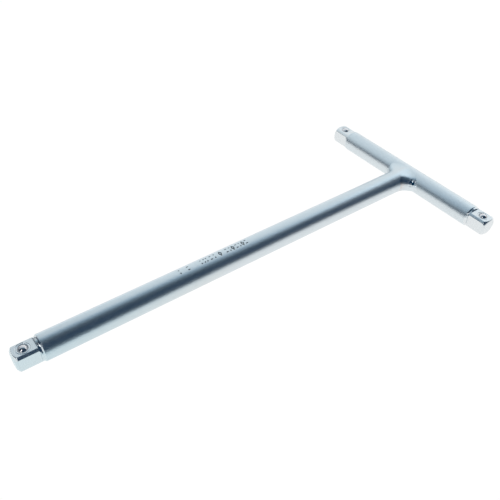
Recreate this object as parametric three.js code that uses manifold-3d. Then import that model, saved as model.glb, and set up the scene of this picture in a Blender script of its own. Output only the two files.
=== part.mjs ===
// A three-way T-handle for square-drive tooling: a long round shaft welded square-on to a short
// round crossbar. All three free ends carry a milled male square with a spring-loaded detent ball.
// Millimetres, +Z up. The handle lies on its bars with every detent ball facing up. The origin is
// at the bottom centre of its bounding box, +X runs up the shaft to the crossbar, +Y to its left end.

import * as THREE from 'three';
import { mergeVertices } from 'three/addons/utils/BufferGeometryUtils.js';
import Module from 'manifold-3d';

// ---------------------------------------------------------------- driving dimensions

const SHAFT_DIAMETER = 13.2;
const CROSSBAR_DIAMETER = 12.8;
const SHAFT_REACH = 252.5; // tip of the shaft's square to the crossbar's axis
const CROSSBAR_LENGTH = 124; // tip to tip

const DRIVE_SIZE = 9.5; // across the flats of each square, the nominal 3/8 inch drive
const DRIVE_LENGTH = 11; // tip to shoulder
const DRIVE_CORNER_DIAMETER = 11.9; // the turned diameter left on the square's corners
const TIP_FACE_DIAMETER = 8.3; // the flat end face inside the tip chamfer
const TIP_CHAMFER_LENGTH = 1.6;
const ROOT_FILLET = 0.6; // where each milled flat runs out into the shoulder
const SHOULDER_CONE_LENGTH = 1.9; // the steep turned cone behind the shoulder
const SHOULDER_CONE_GROWTH = 0.35; // how much radius that cone gains
const SHOULDER_TAPER_LENGTH = 4.5; // shoulder to full diameter

const BALL_DIAMETER = 5;
const BALL_FROM_TIP = 5.3;
const BALL_PROTRUSION = 1; // above the flat, which is also its travel
const POCKET_DIAMETER = 5.4;
const POCKET_DEPTH = 7.2;
const POCKET_POINT = 0.6; // the drill point below that depth
const MOUTH_DIAMETER = 5; // at the flat
const LIP_DIAMETER = 4.6; // the staked ridge just inside the mouth, which keeps the ball in
const LIP_DEPTH = 0.45;
const STAKE_RING_DIAMETER = 6.5; // the punch mark round the mouth
const STAKE_RING_WIDTH = 0.5;
const STAKE_RING_DEPTH = 0.25;

const SPRING_MEAN_DIAMETER = 4;
const SPRING_WIRE = 0.5;
const SPRING_TURNS = 4.5;
const SPRING_GAP = 0.08; // clearance at each end of the spring

const WELD_LENGTH = 11.5; // crossbar axis to where the weld meets the full shaft
const WELD_FULLNESS = 0.34; // reach of the blend's handles as a share of its chord: smaller is fuller
const WELD_NOSE_DIAMETER = 5.2; // the flat left on the bevelled end of the shaft
const WELD_GAP = 0.3; // between the weld and each bar
// The weld's edge on the crossbar, as [angle from the top, distance from the shaft's axis] on each side.
const WELD_EDGE_RIGHT = [
  [0, 0], [15, 4.2], [27, 7.9], [41, 10.1], [52, 11], [62, 11.8], [70, 12.5], [78, 13], [92, 13.2],
  [112, 12.5], [135, 10.4], [158, 6], [180, 0],
];
const WELD_EDGE_LEFT = [
  [0, 0], [15, 5.8], [32, 9.7], [52, 10.5], [69, 10.8], [92, 10.9], [112, 10.6], [135, 9], [158, 5], [180, 0],
];

// ---------------------------------------------------------------- derived sizes

const SHAFT_RADIUS = SHAFT_DIAMETER / 2;
const CROSSBAR_RADIUS = CROSSBAR_DIAMETER / 2;
const HALF_DRIVE = DRIVE_SIZE / 2;
const HALF_CROSSBAR = CROSSBAR_LENGTH / 2;
const BALL_RADIUS = BALL_DIAMETER / 2;
const BALL_HEIGHT = HALF_DRIVE + BALL_PROTRUSION - BALL_RADIUS; // ball centre above the bar's axis
const JUNCTION_X = (SHAFT_REACH - CROSSBAR_RADIUS) / 2;
const ROUND_SIDES = 64;
const BALL_SIDES = 32;
const WELD_RIBS = 48;
const WELD_STEPS = 10;
const CLEAR = 30; // half-width of a cutting block that reaches well past the bars

// ---------------------------------------------------------------- solids

const wasm = await Module();
wasm.setup();

function solidOf(geometry) {
  const positions = geometry.clone();
  positions.deleteAttribute('normal');
  positions.deleteAttribute('uv');
  const merged = mergeVertices(positions, 1e-4);
  const vertProperties = Float32Array.from(merged.attributes.position.array);
  const triVerts = Uint32Array.from(merged.index.array);
  return new wasm.Manifold(new wasm.Mesh({ numProp: 3, vertProperties, triVerts }));
}

function geometryOf(solid) {
  const { vertProperties, triVerts } = solid.getMesh();
  const geometry = new THREE.BufferGeometry();
  geometry.setAttribute('position', new THREE.BufferAttribute(vertProperties, 3));
  geometry.setIndex(new THREE.BufferAttribute(triVerts, 1));
  geometry.computeVertexNormals();
  return geometry;
}

// A solid of revolution about X. Each profile point is [distance along X, radius].
function turned(profile, sides = ROUND_SIDES) {
  const points = profile.map(([along, radius]) => new THREE.Vector2(radius, along));
  return new THREE.LatheGeometry(points, sides).rotateZ(-Math.PI / 2);
}

// A solid of revolution about Z. Each profile point is [radius, height].
function turnedUpright(profile, sides = BALL_SIDES) {
  const points = profile.map(([radius, height]) => new THREE.Vector2(radius, height));
  return new THREE.LatheGeometry(points, sides).rotateX(Math.PI / 2);
}

// ---------------------------------------------------------------- bars with milled squares

// The turned outline of one end, from the tip's centre to the full bar, at distances from the tip.
function endProfile(barRadius) {
  const cornerRadius = DRIVE_CORNER_DIAMETER / 2;
  const coneRadius = cornerRadius + SHOULDER_CONE_GROWTH;
  const taper = new THREE.QuadraticBezierCurve(
    new THREE.Vector2(DRIVE_LENGTH + SHOULDER_CONE_LENGTH, coneRadius),
    new THREE.Vector2(DRIVE_LENGTH + (SHOULDER_CONE_LENGTH + SHOULDER_TAPER_LENGTH) / 2, barRadius),
    new THREE.Vector2(DRIVE_LENGTH + SHOULDER_TAPER_LENGTH, barRadius),
  );
  return [
    [0, 0],
    [0, TIP_FACE_DIAMETER / 2],
    [TIP_CHAMFER_LENGTH, cornerRadius],
    [DRIVE_LENGTH, cornerRadius],
    ...taper.getPoints(4).map((point) => [point.x, point.y]),
  ];
}

// What milling leaves of a bar, seen from the side: the square's half-width up to each shoulder,
// a small fillet at its root, and the whole bar beyond it.
function milledOutline(length, endsMilled) {
  const shoulder = DRIVE_LENGTH;
  const outline = new THREE.Shape();
  outline.moveTo(-1, -HALF_DRIVE);
  outline.lineTo(shoulder - ROOT_FILLET, -HALF_DRIVE);
  outline.absarc(shoulder - ROOT_FILLET, -HALF_DRIVE - ROOT_FILLET, ROOT_FILLET, Math.PI / 2, 0, true);
  outline.lineTo(shoulder, -CLEAR);
  if (endsMilled === 2) {
    const far = length - shoulder;
    outline.lineTo(far, -CLEAR);
    outline.lineTo(far, -HALF_DRIVE - ROOT_FILLET);
    outline.absarc(far + ROOT_FILLET, -HALF_DRIVE - ROOT_FILLET, ROOT_FILLET, Math.PI, Math.PI / 2, true);
    outline.lineTo(length + 1, -HALF_DRIVE);
    outline.lineTo(length + 1, HALF_DRIVE);
    outline.lineTo(far + ROOT_FILLET, HALF_DRIVE);
    outline.absarc(far + ROOT_FILLET, HALF_DRIVE + ROOT_FILLET, ROOT_FILLET, -Math.PI / 2, -Math.PI, true);
    outline.lineTo(far, CLEAR);
  } else {
    outline.lineTo(length + 1, -CLEAR);
    outline.lineTo(length + 1, CLEAR);
  }
  outline.lineTo(shoulder, CLEAR);
  outline.lineTo(shoulder, HALF_DRIVE + ROOT_FILLET);
  outline.absarc(shoulder - ROOT_FILLET, HALF_DRIVE + ROOT_FILLET, ROOT_FILLET, 0, -Math.PI / 2, true);
  outline.lineTo(-1, HALF_DRIVE);
  outline.closePath();
  return outline;
}

// The bar lies along X from its tip at 0, with its squares milled flat to Y and Z.
function milledBar(profile, length, endsMilled) {
  const options = { depth: 2 * CLEAR, bevelEnabled: false, curveSegments: 4 };
  const topAndBottom = new THREE.ExtrudeGeometry(milledOutline(length, endsMilled), options);
  topAndBottom.translate(0, 0, -CLEAR);
  const sides = topAndBottom.clone().rotateX(Math.PI / 2);
  return solidOf(turned(profile)).intersect(solidOf(topAndBottom)).intersect(solidOf(sides));
}

// The blind hole for a ball and its spring, with the staked lip at its mouth and the ring that the
// staking punch leaves. It is cut down into a flat at height 0.
function ballPocket() {
  const mouth = MOUTH_DIAMETER / 2;
  const lip = LIP_DIAMETER / 2;
  const bore = POCKET_DIAMETER / 2;
  const hole = turnedUpright([
    [0, -POCKET_DEPTH - POCKET_POINT],
    [bore, -POCKET_DEPTH],
    [bore, -2 * LIP_DEPTH],
    [lip, -LIP_DEPTH],
    [mouth, 0],
    [mouth, 1],
    [0, 1],
  ]);
  const ring = STAKE_RING_DIAMETER / 2;
  const halfWidth = STAKE_RING_WIDTH / 2;
  const groove = turnedUpright([
    [ring, -STAKE_RING_DEPTH],
    [ring + halfWidth, STAKE_RING_DEPTH],
    [ring - halfWidth, STAKE_RING_DEPTH],
    [ring, -STAKE_RING_DEPTH],
  ]);
  return solidOf(hole).add(solidOf(groove));
}

function pocketAt(along) {
  return ballPocket().translate([along, 0, HALF_DRIVE]);
}

// ---------------------------------------------------------------- the three bodies of the T

function shaftSolid() {
  const nose = SHAFT_REACH - CROSSBAR_RADIUS - WELD_GAP;
  const profile = [
    ...endProfile(SHAFT_RADIUS),
    [SHAFT_REACH - WELD_LENGTH, SHAFT_RADIUS],
    [nose, WELD_NOSE_DIAMETER / 2],
    [nose, 0],
  ];
  return milledBar(profile, SHAFT_REACH, 1).subtract(pocketAt(BALL_FROM_TIP));
}

function crossbarSolid() {
  const oneEnd = endProfile(CROSSBAR_RADIUS);
  const otherEnd = oneEnd.map(([along, radius]) => [CROSSBAR_LENGTH - along, radius]).reverse();
  return milledBar([...oneEnd, ...otherEnd], CROSSBAR_LENGTH, 2)
    .subtract(pocketAt(BALL_FROM_TIP))
    .subtract(pocketAt(CROSSBAR_LENGTH - BALL_FROM_TIP));
}

function edgeAt(table, angle) {
  const next = Math.max(1, table.findIndex(([limit]) => limit >= angle));
  const [fromAngle, from] = table[next - 1];
  const [toAngle, to] = table[next];
  return from + ((to - from) * (angle - fromAngle)) / (toAngle - fromAngle);
}

// One rib of the weld's skin, from the shaft out to its edge on the crossbar and on into the
// crossbar. Angles run from the top of the shaft towards -Y.
function weldRib(degrees) {
  const angle = THREE.MathUtils.degToRad(degrees);
  const sine = Math.sin(angle);
  const cosine = Math.cos(angle);
  const toRight = degrees < 180;
  const edge = toRight ? -edgeAt(WELD_EDGE_RIGHT, degrees) : edgeAt(WELD_EDGE_LEFT, 360 - degrees);
  const start = new THREE.Vector3(-WELD_LENGTH, -SHAFT_RADIUS * sine, SHAFT_RADIUS * cosine);
  const end = new THREE.Vector3(-CROSSBAR_RADIUS * Math.abs(sine), edge, CROSSBAR_RADIUS * cosine);
  const alongCrossbar = new THREE.Vector3(0, toRight ? -1 : 1, 0);
  const overCrossbar = new THREE.Vector3(Math.abs(cosine), 0, Math.sign(cosine) * Math.abs(sine));
  const leaving = overCrossbar.lerp(alongCrossbar, Math.abs(sine)).normalize();
  const handle = WELD_FULLNESS * start.distanceTo(end);
  const rib = new THREE.CubicBezierCurve3(
    start,
    start.clone().add(new THREE.Vector3(handle, 0, 0)),
    end.clone().addScaledVector(leaving, -handle),
    end,
  );
  return [...rib.getPoints(WELD_STEPS), new THREE.Vector3(1, edge, 0.9 * end.z)];
}

// The closed skin over all the ribs, with a fan at each end.
function weldSkin() {
  const ribs = [];
  for (let i = 0; i < WELD_RIBS; i += 1) ribs.push(weldRib((360 * i) / WELD_RIBS));
  const rows = WELD_STEPS + 2;
  const points = [...ribs.flat(), new THREE.Vector3(-WELD_LENGTH, 0, 0), new THREE.Vector3(1, 0, 0)];
  const startCentre = points.length - 2;
  const endCentre = points.length - 1;
  const index = [];
  for (let i = 0; i < WELD_RIBS; i += 1) {
    const here = i * rows;
    const following = ((i + 1) % WELD_RIBS) * rows;
    index.push(startCentre, following, here);
    for (let row = 0; row < rows - 1; row += 1) {
      index.push(here + row, following + row + 1, here + row + 1);
      index.push(here + row, following + row, following + row + 1);
    }
    index.push(endCentre, here + rows - 1, following + rows - 1);
  }
  const skin = new THREE.BufferGeometry().setFromPoints(points);
  skin.setIndex(index);
  return skin;
}

// The weld fills the bevel on the shaft's end and blends into the crossbar. It reaches furthest along
// the crossbar at the sides and dies out at the top and bottom. The crossbar's axis is at X = 0.
function weldSolid() {
  const start = -WELD_LENGTH;
  const nose = -CROSSBAR_RADIUS - WELD_GAP;
  const bevelSlope = (SHAFT_RADIUS - WELD_NOSE_DIAMETER / 2) / (nose - start);
  const bevelClearance = WELD_GAP * Math.hypot(1, bevelSlope);
  const shaftRoom = turned([
    [start - 1, 0],
    [start - 1, SHAFT_RADIUS + 1],
    [start + WELD_GAP, SHAFT_RADIUS + 1],
    [start + WELD_GAP, SHAFT_RADIUS + bevelClearance - bevelSlope * WELD_GAP],
    [nose, WELD_NOSE_DIAMETER / 2 + bevelClearance],
    [0, WELD_NOSE_DIAMETER / 2 + bevelClearance],
    [0, 0],
  ]);
  const crossbarRoom = turned([
    [-CLEAR, 0],
    [-CLEAR, CROSSBAR_RADIUS + WELD_GAP],
    [CLEAR, CROSSBAR_RADIUS + WELD_GAP],
    [CLEAR, 0],
  ]).rotateZ(Math.PI / 2);
  return solidOf(weldSkin()).subtract(solidOf(shaftRoom)).subtract(solidOf(crossbarRoom));
}

// ---------------------------------------------------------------- detents

class Helix extends THREE.Curve {
  constructor(radius, height, turns) {
    super();
    this.radius = radius;
    this.height = height;
    this.turns = turns;
  }

  getPoint(t, target = new THREE.Vector3()) {
    const angle = 2 * Math.PI * this.turns * t;
    return target.set(this.radius * Math.cos(angle), this.radius * Math.sin(angle), this.height * t);
  }
}

function ballGeometry() {
  return new THREE.SphereGeometry(BALL_RADIUS, BALL_SIDES, 16).rotateX(Math.PI / 2);
}

// The wire's centre line runs from just above the pocket's floor to where it cups the ball.
const SPRING_BOTTOM = HALF_DRIVE - POCKET_DEPTH + SPRING_WIRE / 2 + SPRING_GAP;
const SPRING_REACH = BALL_RADIUS + SPRING_WIRE / 2 + SPRING_GAP;
const SPRING_TOP = BALL_HEIGHT - Math.sqrt(SPRING_REACH ** 2 - (SPRING_MEAN_DIAMETER / 2) ** 2);

function springGeometry() {
  const wireSides = 8;
  const stepsPerTurn = 14;
  const section = new THREE.Shape();
  for (let i = 0; i < wireSides; i += 1) {
    const angle = (2 * Math.PI * i) / wireSides;
    const x = (SPRING_WIRE / 2) * Math.cos(angle);
    const y = (SPRING_WIRE / 2) * Math.sin(angle);
    if (i === 0) section.moveTo(x, y);
    else section.lineTo(x, y);
  }
  section.closePath();
  const coil = new Helix(SPRING_MEAN_DIAMETER / 2, SPRING_TOP - SPRING_BOTTOM, SPRING_TURNS);
  return new THREE.ExtrudeGeometry(section, {
    steps: Math.round(SPRING_TURNS * stepsPerTurn),
    bevelEnabled: false,
    extrudePath: coil,
  });
}

// ---------------------------------------------------------------- materials

const satinChrome = new THREE.MeshStandardMaterial({ color: 0xc4ccd2, roughness: 0.36, metalness: 1 });
const weldChrome = new THREE.MeshStandardMaterial({ color: 0xbfc5c9, roughness: 0.42, metalness: 1 });
const polishedSteel = new THREE.MeshStandardMaterial({ color: 0xd6dadd, roughness: 0.08, metalness: 1 });
const springSteel = new THREE.MeshStandardMaterial({ color: 0x8d9296, roughness: 0.45, metalness: 1 });

// ---------------------------------------------------------------- assembly

const handle = new THREE.Group();
handle.position.set(JUNCTION_X, 0, SHAFT_RADIUS);

function addPiece(name, geometry, material, parent) {
  const piece = new THREE.Mesh(geometry, material);
  piece.name = name;
  parent.add(piece);
  return piece;
}

const shaft = addPiece('shaft', geometryOf(shaftSolid()), satinChrome, handle);
shaft.position.x = -SHAFT_REACH;

const crossbar = addPiece('crossbar', geometryOf(crossbarSolid()), satinChrome, handle);
crossbar.position.y = -HALF_CROSSBAR;
crossbar.rotation.z = Math.PI / 2;

addPiece('weld_bead', geometryOf(weldSolid()), weldChrome, handle);

const DETENTS = {
  shaft: [-SHAFT_REACH + BALL_FROM_TIP, 0],
  left: [0, HALF_CROSSBAR - BALL_FROM_TIP],
  right: [0, -HALF_CROSSBAR + BALL_FROM_TIP],
};

for (const [end, [x, y]] of Object.entries(DETENTS)) {
  const ball = addPiece(`${end}_detent_ball`, ballGeometry(), polishedSteel, handle);
  ball.position.set(x, y, BALL_HEIGHT);
  const spring = addPiece(`${end}_detent_spring`, springGeometry(), springSteel, handle);
  spring.position.set(x, y, SPRING_BOTTOM);
}

export default handle;
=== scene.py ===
"""Looks of the three-way T-handle: chrome bars, weld, detent balls and springs, on white."""

import math

import bmesh
import bpy
import numpy as np
from mathutils import Matrix, Quaternion, Vector


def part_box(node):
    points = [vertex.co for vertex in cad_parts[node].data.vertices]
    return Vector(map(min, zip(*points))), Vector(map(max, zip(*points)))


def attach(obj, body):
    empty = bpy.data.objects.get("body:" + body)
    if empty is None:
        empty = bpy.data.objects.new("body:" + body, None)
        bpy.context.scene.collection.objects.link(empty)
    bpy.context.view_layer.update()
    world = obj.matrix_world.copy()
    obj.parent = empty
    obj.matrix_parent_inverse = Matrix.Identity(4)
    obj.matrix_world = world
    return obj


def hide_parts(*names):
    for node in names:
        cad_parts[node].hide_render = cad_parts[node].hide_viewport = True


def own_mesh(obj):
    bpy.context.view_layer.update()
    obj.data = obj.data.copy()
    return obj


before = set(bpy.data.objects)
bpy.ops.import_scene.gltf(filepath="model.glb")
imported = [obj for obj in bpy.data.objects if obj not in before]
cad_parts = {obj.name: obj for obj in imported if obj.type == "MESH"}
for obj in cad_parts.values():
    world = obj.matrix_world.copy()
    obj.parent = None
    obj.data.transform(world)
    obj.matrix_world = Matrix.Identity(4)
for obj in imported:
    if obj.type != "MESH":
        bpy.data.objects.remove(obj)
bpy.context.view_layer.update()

MM = 0.001
SEED = 7
FULL_TURN = 2 * math.pi

# ------------------------------------------------------------ the CAD's own places, in millimetres


def box_mm(node):
    low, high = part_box(node)
    return np.array(low) / MM, np.array(high) / MM


SHAFT_LOW, SHAFT_HIGH = box_mm("shaft")
BAR_LOW, BAR_HIGH = box_mm("crossbar")
AXIS_Z = (SHAFT_LOW[2] + SHAFT_HIGH[2]) / 2
SHAFT_R = (SHAFT_HIGH[2] - SHAFT_LOW[2]) / 2
CROSSBAR_R = (BAR_HIGH[0] - BAR_LOW[0]) / 2
JUNCTION_X = (BAR_LOW[0] + BAR_HIGH[0]) / 2
SHAFT_REACH = JUNCTION_X - SHAFT_LOW[0]
CROSSBAR_LENGTH = BAR_HIGH[1] - BAR_LOW[1]

# ------------------------------------------------------------ shapes, in millimetres

HALF_DRIVE = 4.75
UNMILLED = 50.0  # half-width where no flats are milled
NO_STEP = 0.0  # step radius where the square's own outline holds
DRIVE_LENGTH = 11.0
CORNER_R = 5.95
TIP_FACE_R = 4.15
TIP_CHAMFER = 1.6
CHAMFER_BULGE = 0.4  # how far the chamfer swells at its middle
ROOT_FILLET = 0.4
POLISHED_COLLAR = 1.45  # how far the plain chrome reaches behind the shoulder
EDGE_ROUNDING = 0.14  # how softly the milled flats meet the turned surface

TIP_FACE_SHARES = (0.3, 0.6, 0.85, 0.94)  # rings on the flat tip
TIP_EDGE = [(0.02, -0.06), (0.08, 0.03)]  # its softened rim: (distance from the tip, added radius)
CHAMFER_START = 0.16
CHAMFER_ROWS = 15
CORNER_START = 1.85
CORNER_ROWS = 12
FILLET_DEGREES = np.linspace(15, 90, 6)  # the fillet's stations, as turns of its quarter circle

# The step behind each square: a steep face, a plain cone and a ramp up to the bar.
# Distances are measured back from the shoulder.
FACE_OUTLINE = [(0.01, 5.12), (0.02, 5.35), (0.035, 5.55), (0.06, 5.68), (0.1, 5.74), (0.15, 5.77)]
CONE_START = 0.25
CONE_START_R = 5.75
CONE_SLOPE = 0.32
CONE_END = 1.0
CONE_ROWS = 6
RAMP_START = CONE_END + 0.04
RAMP_SLOPE = 0.85
RAMP_SHARES = (0.1, 0.25, 0.45, 0.65, 0.85)
# The rounded top of the ramp: (distance past the ramp, how far below the bar's surface).
RAMP_TOP = [(0.0, 0.09), (0.06, 0.05), (0.14, 0.025), (0.3, 0.01), (0.8, 0.0), (3.0, 0.0)]

QUARTERS = (0, 90, 180, 270)
FLAT_DEGREES = 34.0  # even columns up to here, then close ones over the corner
CORNER_DEGREES = [34.6, 35.6, 36.4, 37.0, 37.6, 38.4, 39.6, 41.5, 43.5]
SIDE_STEP = 3.0  # degrees between columns on the sides and the underside
SHAFT_TOP_STEP = 1.3
CROSSBAR_TOP_STEP = 2.2
WORN_WIDTH = 0.05  # difference in radius over which the worn corners fade out

POCKET_R = 2.7
POCKET_DEPTH = 7.2
POCKET_POINT = 0.6
POCKET_TOP = 0.6  # how far the cutter stands above the flat
LIP_R = 2.31
STAKE_RING_R = 3.25
# The hole's staked lip: (added to the lip's radius, height from the flat).
LIP_OUTLINE = [
    (0.12, -0.7), (0.0, -0.45), (0.03, -0.34), (0.1, -0.2), (0.16, -0.1), (0.26, -0.04),
    (0.4, -0.02),
]
# The punch ring round the hole: (added to the ring's radius, height from the flat).
RING_OUTLINE = [
    (-0.24, -0.02), (-0.16, -0.05), (-0.07, -0.1), (0.0, -0.12), (0.07, -0.09), (0.15, -0.04),
    (0.2, 0.03),
]
LIP_START = -0.95  # where the hole's wall turns in to the lip
HOLE_SIDES = 96

EVEN_START = 20.0  # from a tip: the bar is plain from here
SHAFT_STEP = 5.0
CROSSBAR_STEP = 4.0
CROSSBAR_LAST = 17.0  # the last even station is at least this far from the other tip
BEVEL_SHARES = (0.33, 0.66, 1.0)
BEVEL_START = 11.5  # from the crossbar's axis: the shaft's bevelled end under the weld
NOSE_R = 2.6
NOSE_GAP = 0.3

MARK_START = 80.0  # from the shaft's tip
MARK_END = 130.0
MARK_STEP = 0.16  # close stations, so that the marks are sharp

# ------------------------------------------------------------ camera

SENSOR_MM = 36.0
LENS_MM = 43.98
CAMERA_PLACE = Vector((-0.15275, -0.19148, 0.22308))
CAMERA_TARGET = Vector((0.00410, 0.00534, 0.0))
CAMERA_ROLL = math.radians(2.618)
NEAREST = 0.01


def facing(place, target):
    """The turn that makes a camera or a lamp at place look at target."""
    return (target - place).to_track_quat("-Z", "Y")


def add_camera():
    camera_data = bpy.data.cameras.new("camera")
    camera_data.sensor_width = SENSOR_MM
    camera_data.lens = LENS_MM
    camera_data.clip_start = NEAREST
    camera = bpy.data.objects.new("camera", camera_data)
    bpy.context.collection.objects.link(camera)
    turn = facing(CAMERA_PLACE, CAMERA_TARGET) @ Quaternion((0, 0, 1), CAMERA_ROLL)
    camera.matrix_world = Matrix.Translation(CAMERA_PLACE) @ turn.to_matrix().to_4x4()
    bpy.context.scene.camera = camera


add_camera()

# ------------------------------------------------------------ mesh helpers

SHARP_ANGLE = math.radians(35.0)
MERGE_DISTANCE = 1e-7


def make_object(name, vertices_mm, faces, material=None):
    mesh = bpy.data.meshes.new(name)
    mesh.from_pydata((np.asarray(vertices_mm) * MM).tolist(), [], faces)
    mesh.validate()
    mesh.polygons.foreach_set("use_smooth", [True] * len(mesh.polygons))
    mesh.set_sharp_from_angle(angle=SHARP_ANGLE)
    obj = bpy.data.objects.new(name, mesh)
    bpy.context.collection.objects.link(obj)
    if material:
        mesh.materials.append(material)
    return obj


def merge(obj):
    """Joins the vertices that share a place and turns every face outwards."""
    mesh = bmesh.new()
    mesh.from_mesh(obj.data)
    bmesh.ops.remove_doubles(mesh, verts=mesh.verts, dist=MERGE_DISTANCE)
    bmesh.ops.recalc_face_normals(mesh, faces=mesh.faces)
    mesh.to_mesh(obj.data)
    mesh.free()


def grid_faces(rows, columns):
    """Quads between rows of vertices that each close on themselves."""
    faces = []
    for row in range(rows - 1):
        for column in range(columns):
            following = (column + 1) % columns
            a = row * columns + column
            b = row * columns + following
            c = (row + 1) * columns + following
            d = (row + 1) * columns + column
            faces.append((a, b, c, d))
    return faces


def end_caps(rows, columns):
    """Fans that close a grid's first and last rows on two centres, numbered after the grid."""
    first_centre = rows * columns
    last_centre = first_centre + 1
    tail = (rows - 1) * columns
    faces = []
    for column in range(columns):
        following = (column + 1) % columns
        faces.append((first_centre, following, column))
        faces.append((last_centre, tail + column, tail + following))
    return faces


def add_values(obj, name, values):
    """Stores one number for each vertex, for the material to read."""
    layer = obj.data.attributes.new(name, "FLOAT", "POINT")
    layer.data.foreach_set("value", values)


def smooth_min(a, b, blend):
    share = np.clip(0.5 + 0.5 * (b - a) / blend, 0, 1)
    return b * (1 - share) + a * share - blend * share * (1 - share)


def smooth_step(value, low, high):
    share = np.clip((value - low) / (high - low), 0, 1)
    return share * share * (3 - 2 * share)


# ------------------------------------------------------------ bars


def square_stations():
    """From the tip's centre to the shoulder: (distance from the tip, radius, half-width, step)."""
    rows = [(0.0, TIP_FACE_R * share, HALF_DRIVE, NO_STEP) for share in TIP_FACE_SHARES]
    rows += [(along, TIP_FACE_R + added, HALF_DRIVE, NO_STEP) for along, added in TIP_EDGE]
    for along in np.linspace(CHAMFER_START, TIP_CHAMFER, CHAMFER_ROWS):
        share = along / TIP_CHAMFER
        radius = TIP_FACE_R + (CORNER_R - TIP_FACE_R) * share
        bulge = 4 * CHAMFER_BULGE * share * (1 - share)
        rows.append((along, radius + bulge, HALF_DRIVE, NO_STEP))
    for along in np.linspace(CORNER_START, DRIVE_LENGTH - ROOT_FILLET, CORNER_ROWS):
        rows.append((along, CORNER_R, HALF_DRIVE, NO_STEP))
    for angle in FILLET_DEGREES:
        turn = math.radians(angle)
        along = DRIVE_LENGTH - ROOT_FILLET + ROOT_FILLET * math.sin(turn)
        rows.append((along, CORNER_R, HALF_DRIVE + ROOT_FILLET * (1 - math.cos(turn)), NO_STEP))
    return rows


def step_outline(bar_radius):
    """The step behind the square: (distance behind the shoulder, radius)."""
    outline = list(FACE_OUTLINE)
    for behind in np.linspace(CONE_START, CONE_END, CONE_ROWS):
        outline.append((behind, CONE_START_R + CONE_SLOPE * behind))
    foot = outline[-1][1]
    rise = bar_radius - RAMP_TOP[0][1] - foot
    for share in RAMP_SHARES:
        outline.append((RAMP_START + rise * share / RAMP_SLOPE, foot + rise * share))
    ramp_end = RAMP_START + rise / RAMP_SLOPE
    for further, below in RAMP_TOP:
        outline.append((ramp_end + further, bar_radius - below))
    return outline


def end_stations(bar_radius):
    """From the tip's centre to the full bar. The corners run on until the step stands higher."""
    rows = square_stations()
    for behind, radius in step_outline(bar_radius):
        rows.append((DRIVE_LENGTH + behind, CORNER_R, HALF_DRIVE + ROOT_FILLET, radius))
    return rows


def plain_station(along, radius):
    """Round bar: the half-width is out of reach, so no flat shows."""
    return (along, radius, UNMILLED, NO_STEP)


def bar_angles(top_step):
    """Column angles from the top, close together where the flats meet the corners."""
    fine = list(np.arange(0, FLAT_DEGREES, top_step)) + CORNER_DEGREES
    coarse = list(np.arange(0, FLAT_DEGREES, SIDE_STEP)) + CORNER_DEGREES
    angles = []
    for quarter in QUARTERS:
        offsets = fine if quarter == 0 else coarse
        angles += [quarter + a for a in offsets]
        angles += [quarter - a for a in offsets[1:]]
    return np.radians(sorted(a % 360 for a in angles))


def bar_vertices(stations, angles, carve=None):
    """Points round the bar as (along, across, up), how deep each is carved and how worn it is."""
    angle = angles[None, :]
    along, turned, mill, step = [np.array(column)[:, None] for column in zip(*stations)]
    flat = mill / np.maximum(np.abs(np.cos(angle)), np.abs(np.sin(angle)))
    radius = np.maximum(smooth_min(turned + 0 * angle, flat, EDGE_ROUNDING), step)
    worn = smooth_step(flat - turned, -WORN_WIDTH, WORN_WIDTH)
    worn = worn * (along < DRIVE_LENGTH) * (along > TIP_CHAMFER)
    marks = np.zeros_like(radius)
    if carve is not None:
        marks = carve(along + 0 * angle, angle + 0 * along)
        radius = radius - marks
    points = np.stack([along + 0 * radius, radius * np.sin(angle), radius * np.cos(angle)], axis=-1)
    return points.reshape(-1, 3), marks.reshape(-1), worn.reshape(-1)


def closed_bar(name, stations, angles, place, material, carve=None):
    """A whole bar from its stations, with its two ends closed on the axis."""
    points, marks, worn = bar_vertices(stations, angles, carve)
    first = [stations[0][0], 0.0, 0.0]
    last = [stations[-1][0], 0.0, 0.0]
    vertices = np.vstack([points, [first], [last]])
    faces = grid_faces(len(stations), len(angles)) + end_caps(len(stations), len(angles))
    obj = make_object(name, place(vertices), faces, material)
    centres = [0.0, 0.0]
    add_values(obj, "carved", np.append(marks, centres))
    add_values(obj, "worn", np.append(worn, centres))
    return obj


def cut(obj, cutter):
    """Takes the cutter out of obj and leaves the result as obj's own mesh."""
    modifier = obj.modifiers.new("cut", "BOOLEAN")
    modifier.operation = "DIFFERENCE"
    modifier.solver = "EXACT"
    modifier.object = cutter
    result = obj.evaluated_get(bpy.context.evaluated_depsgraph_get())
    mesh = bpy.data.meshes.new_from_object(result)
    obj.modifiers.clear()
    old = obj.data
    obj.data = mesh
    bpy.data.meshes.remove(old)
    mesh.set_sharp_from_angle(angle=SHARP_ANGLE)


def lathe_upright(name, profile, centre):
    """A closed solid turned about Z: the profile's first and last points lie on the axis."""
    angles = np.linspace(0, FULL_TURN, HOLE_SIDES, endpoint=False)
    rows = [[(r * math.cos(a), r * math.sin(a), z) for a in angles] for r, z in profile[1:-1]]
    points = np.array(rows).reshape(-1, 3)
    ends = [[0, 0, profile[0][1]], [0, 0, profile[-1][1]]]
    vertices = np.vstack([points, ends]) + np.array(centre)
    faces = grid_faces(len(rows), HOLE_SIDES) + end_caps(len(rows), HOLE_SIDES)
    return make_object(name, vertices, faces)


def pocket_profile():
    """The ball's hole, staked lip and punch ring, up from the drill point. The flat is at 0."""
    profile = [(0, -POCKET_DEPTH - POCKET_POINT), (POCKET_R, -POCKET_DEPTH), (POCKET_R, LIP_START)]
    profile += [(LIP_R + added, height) for added, height in LIP_OUTLINE]
    profile += [(STAKE_RING_R + added, height) for added, height in RING_OUTLINE]
    rim = profile[-1][0]
    return profile + [(rim, POCKET_TOP), (0, POCKET_TOP)]


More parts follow.
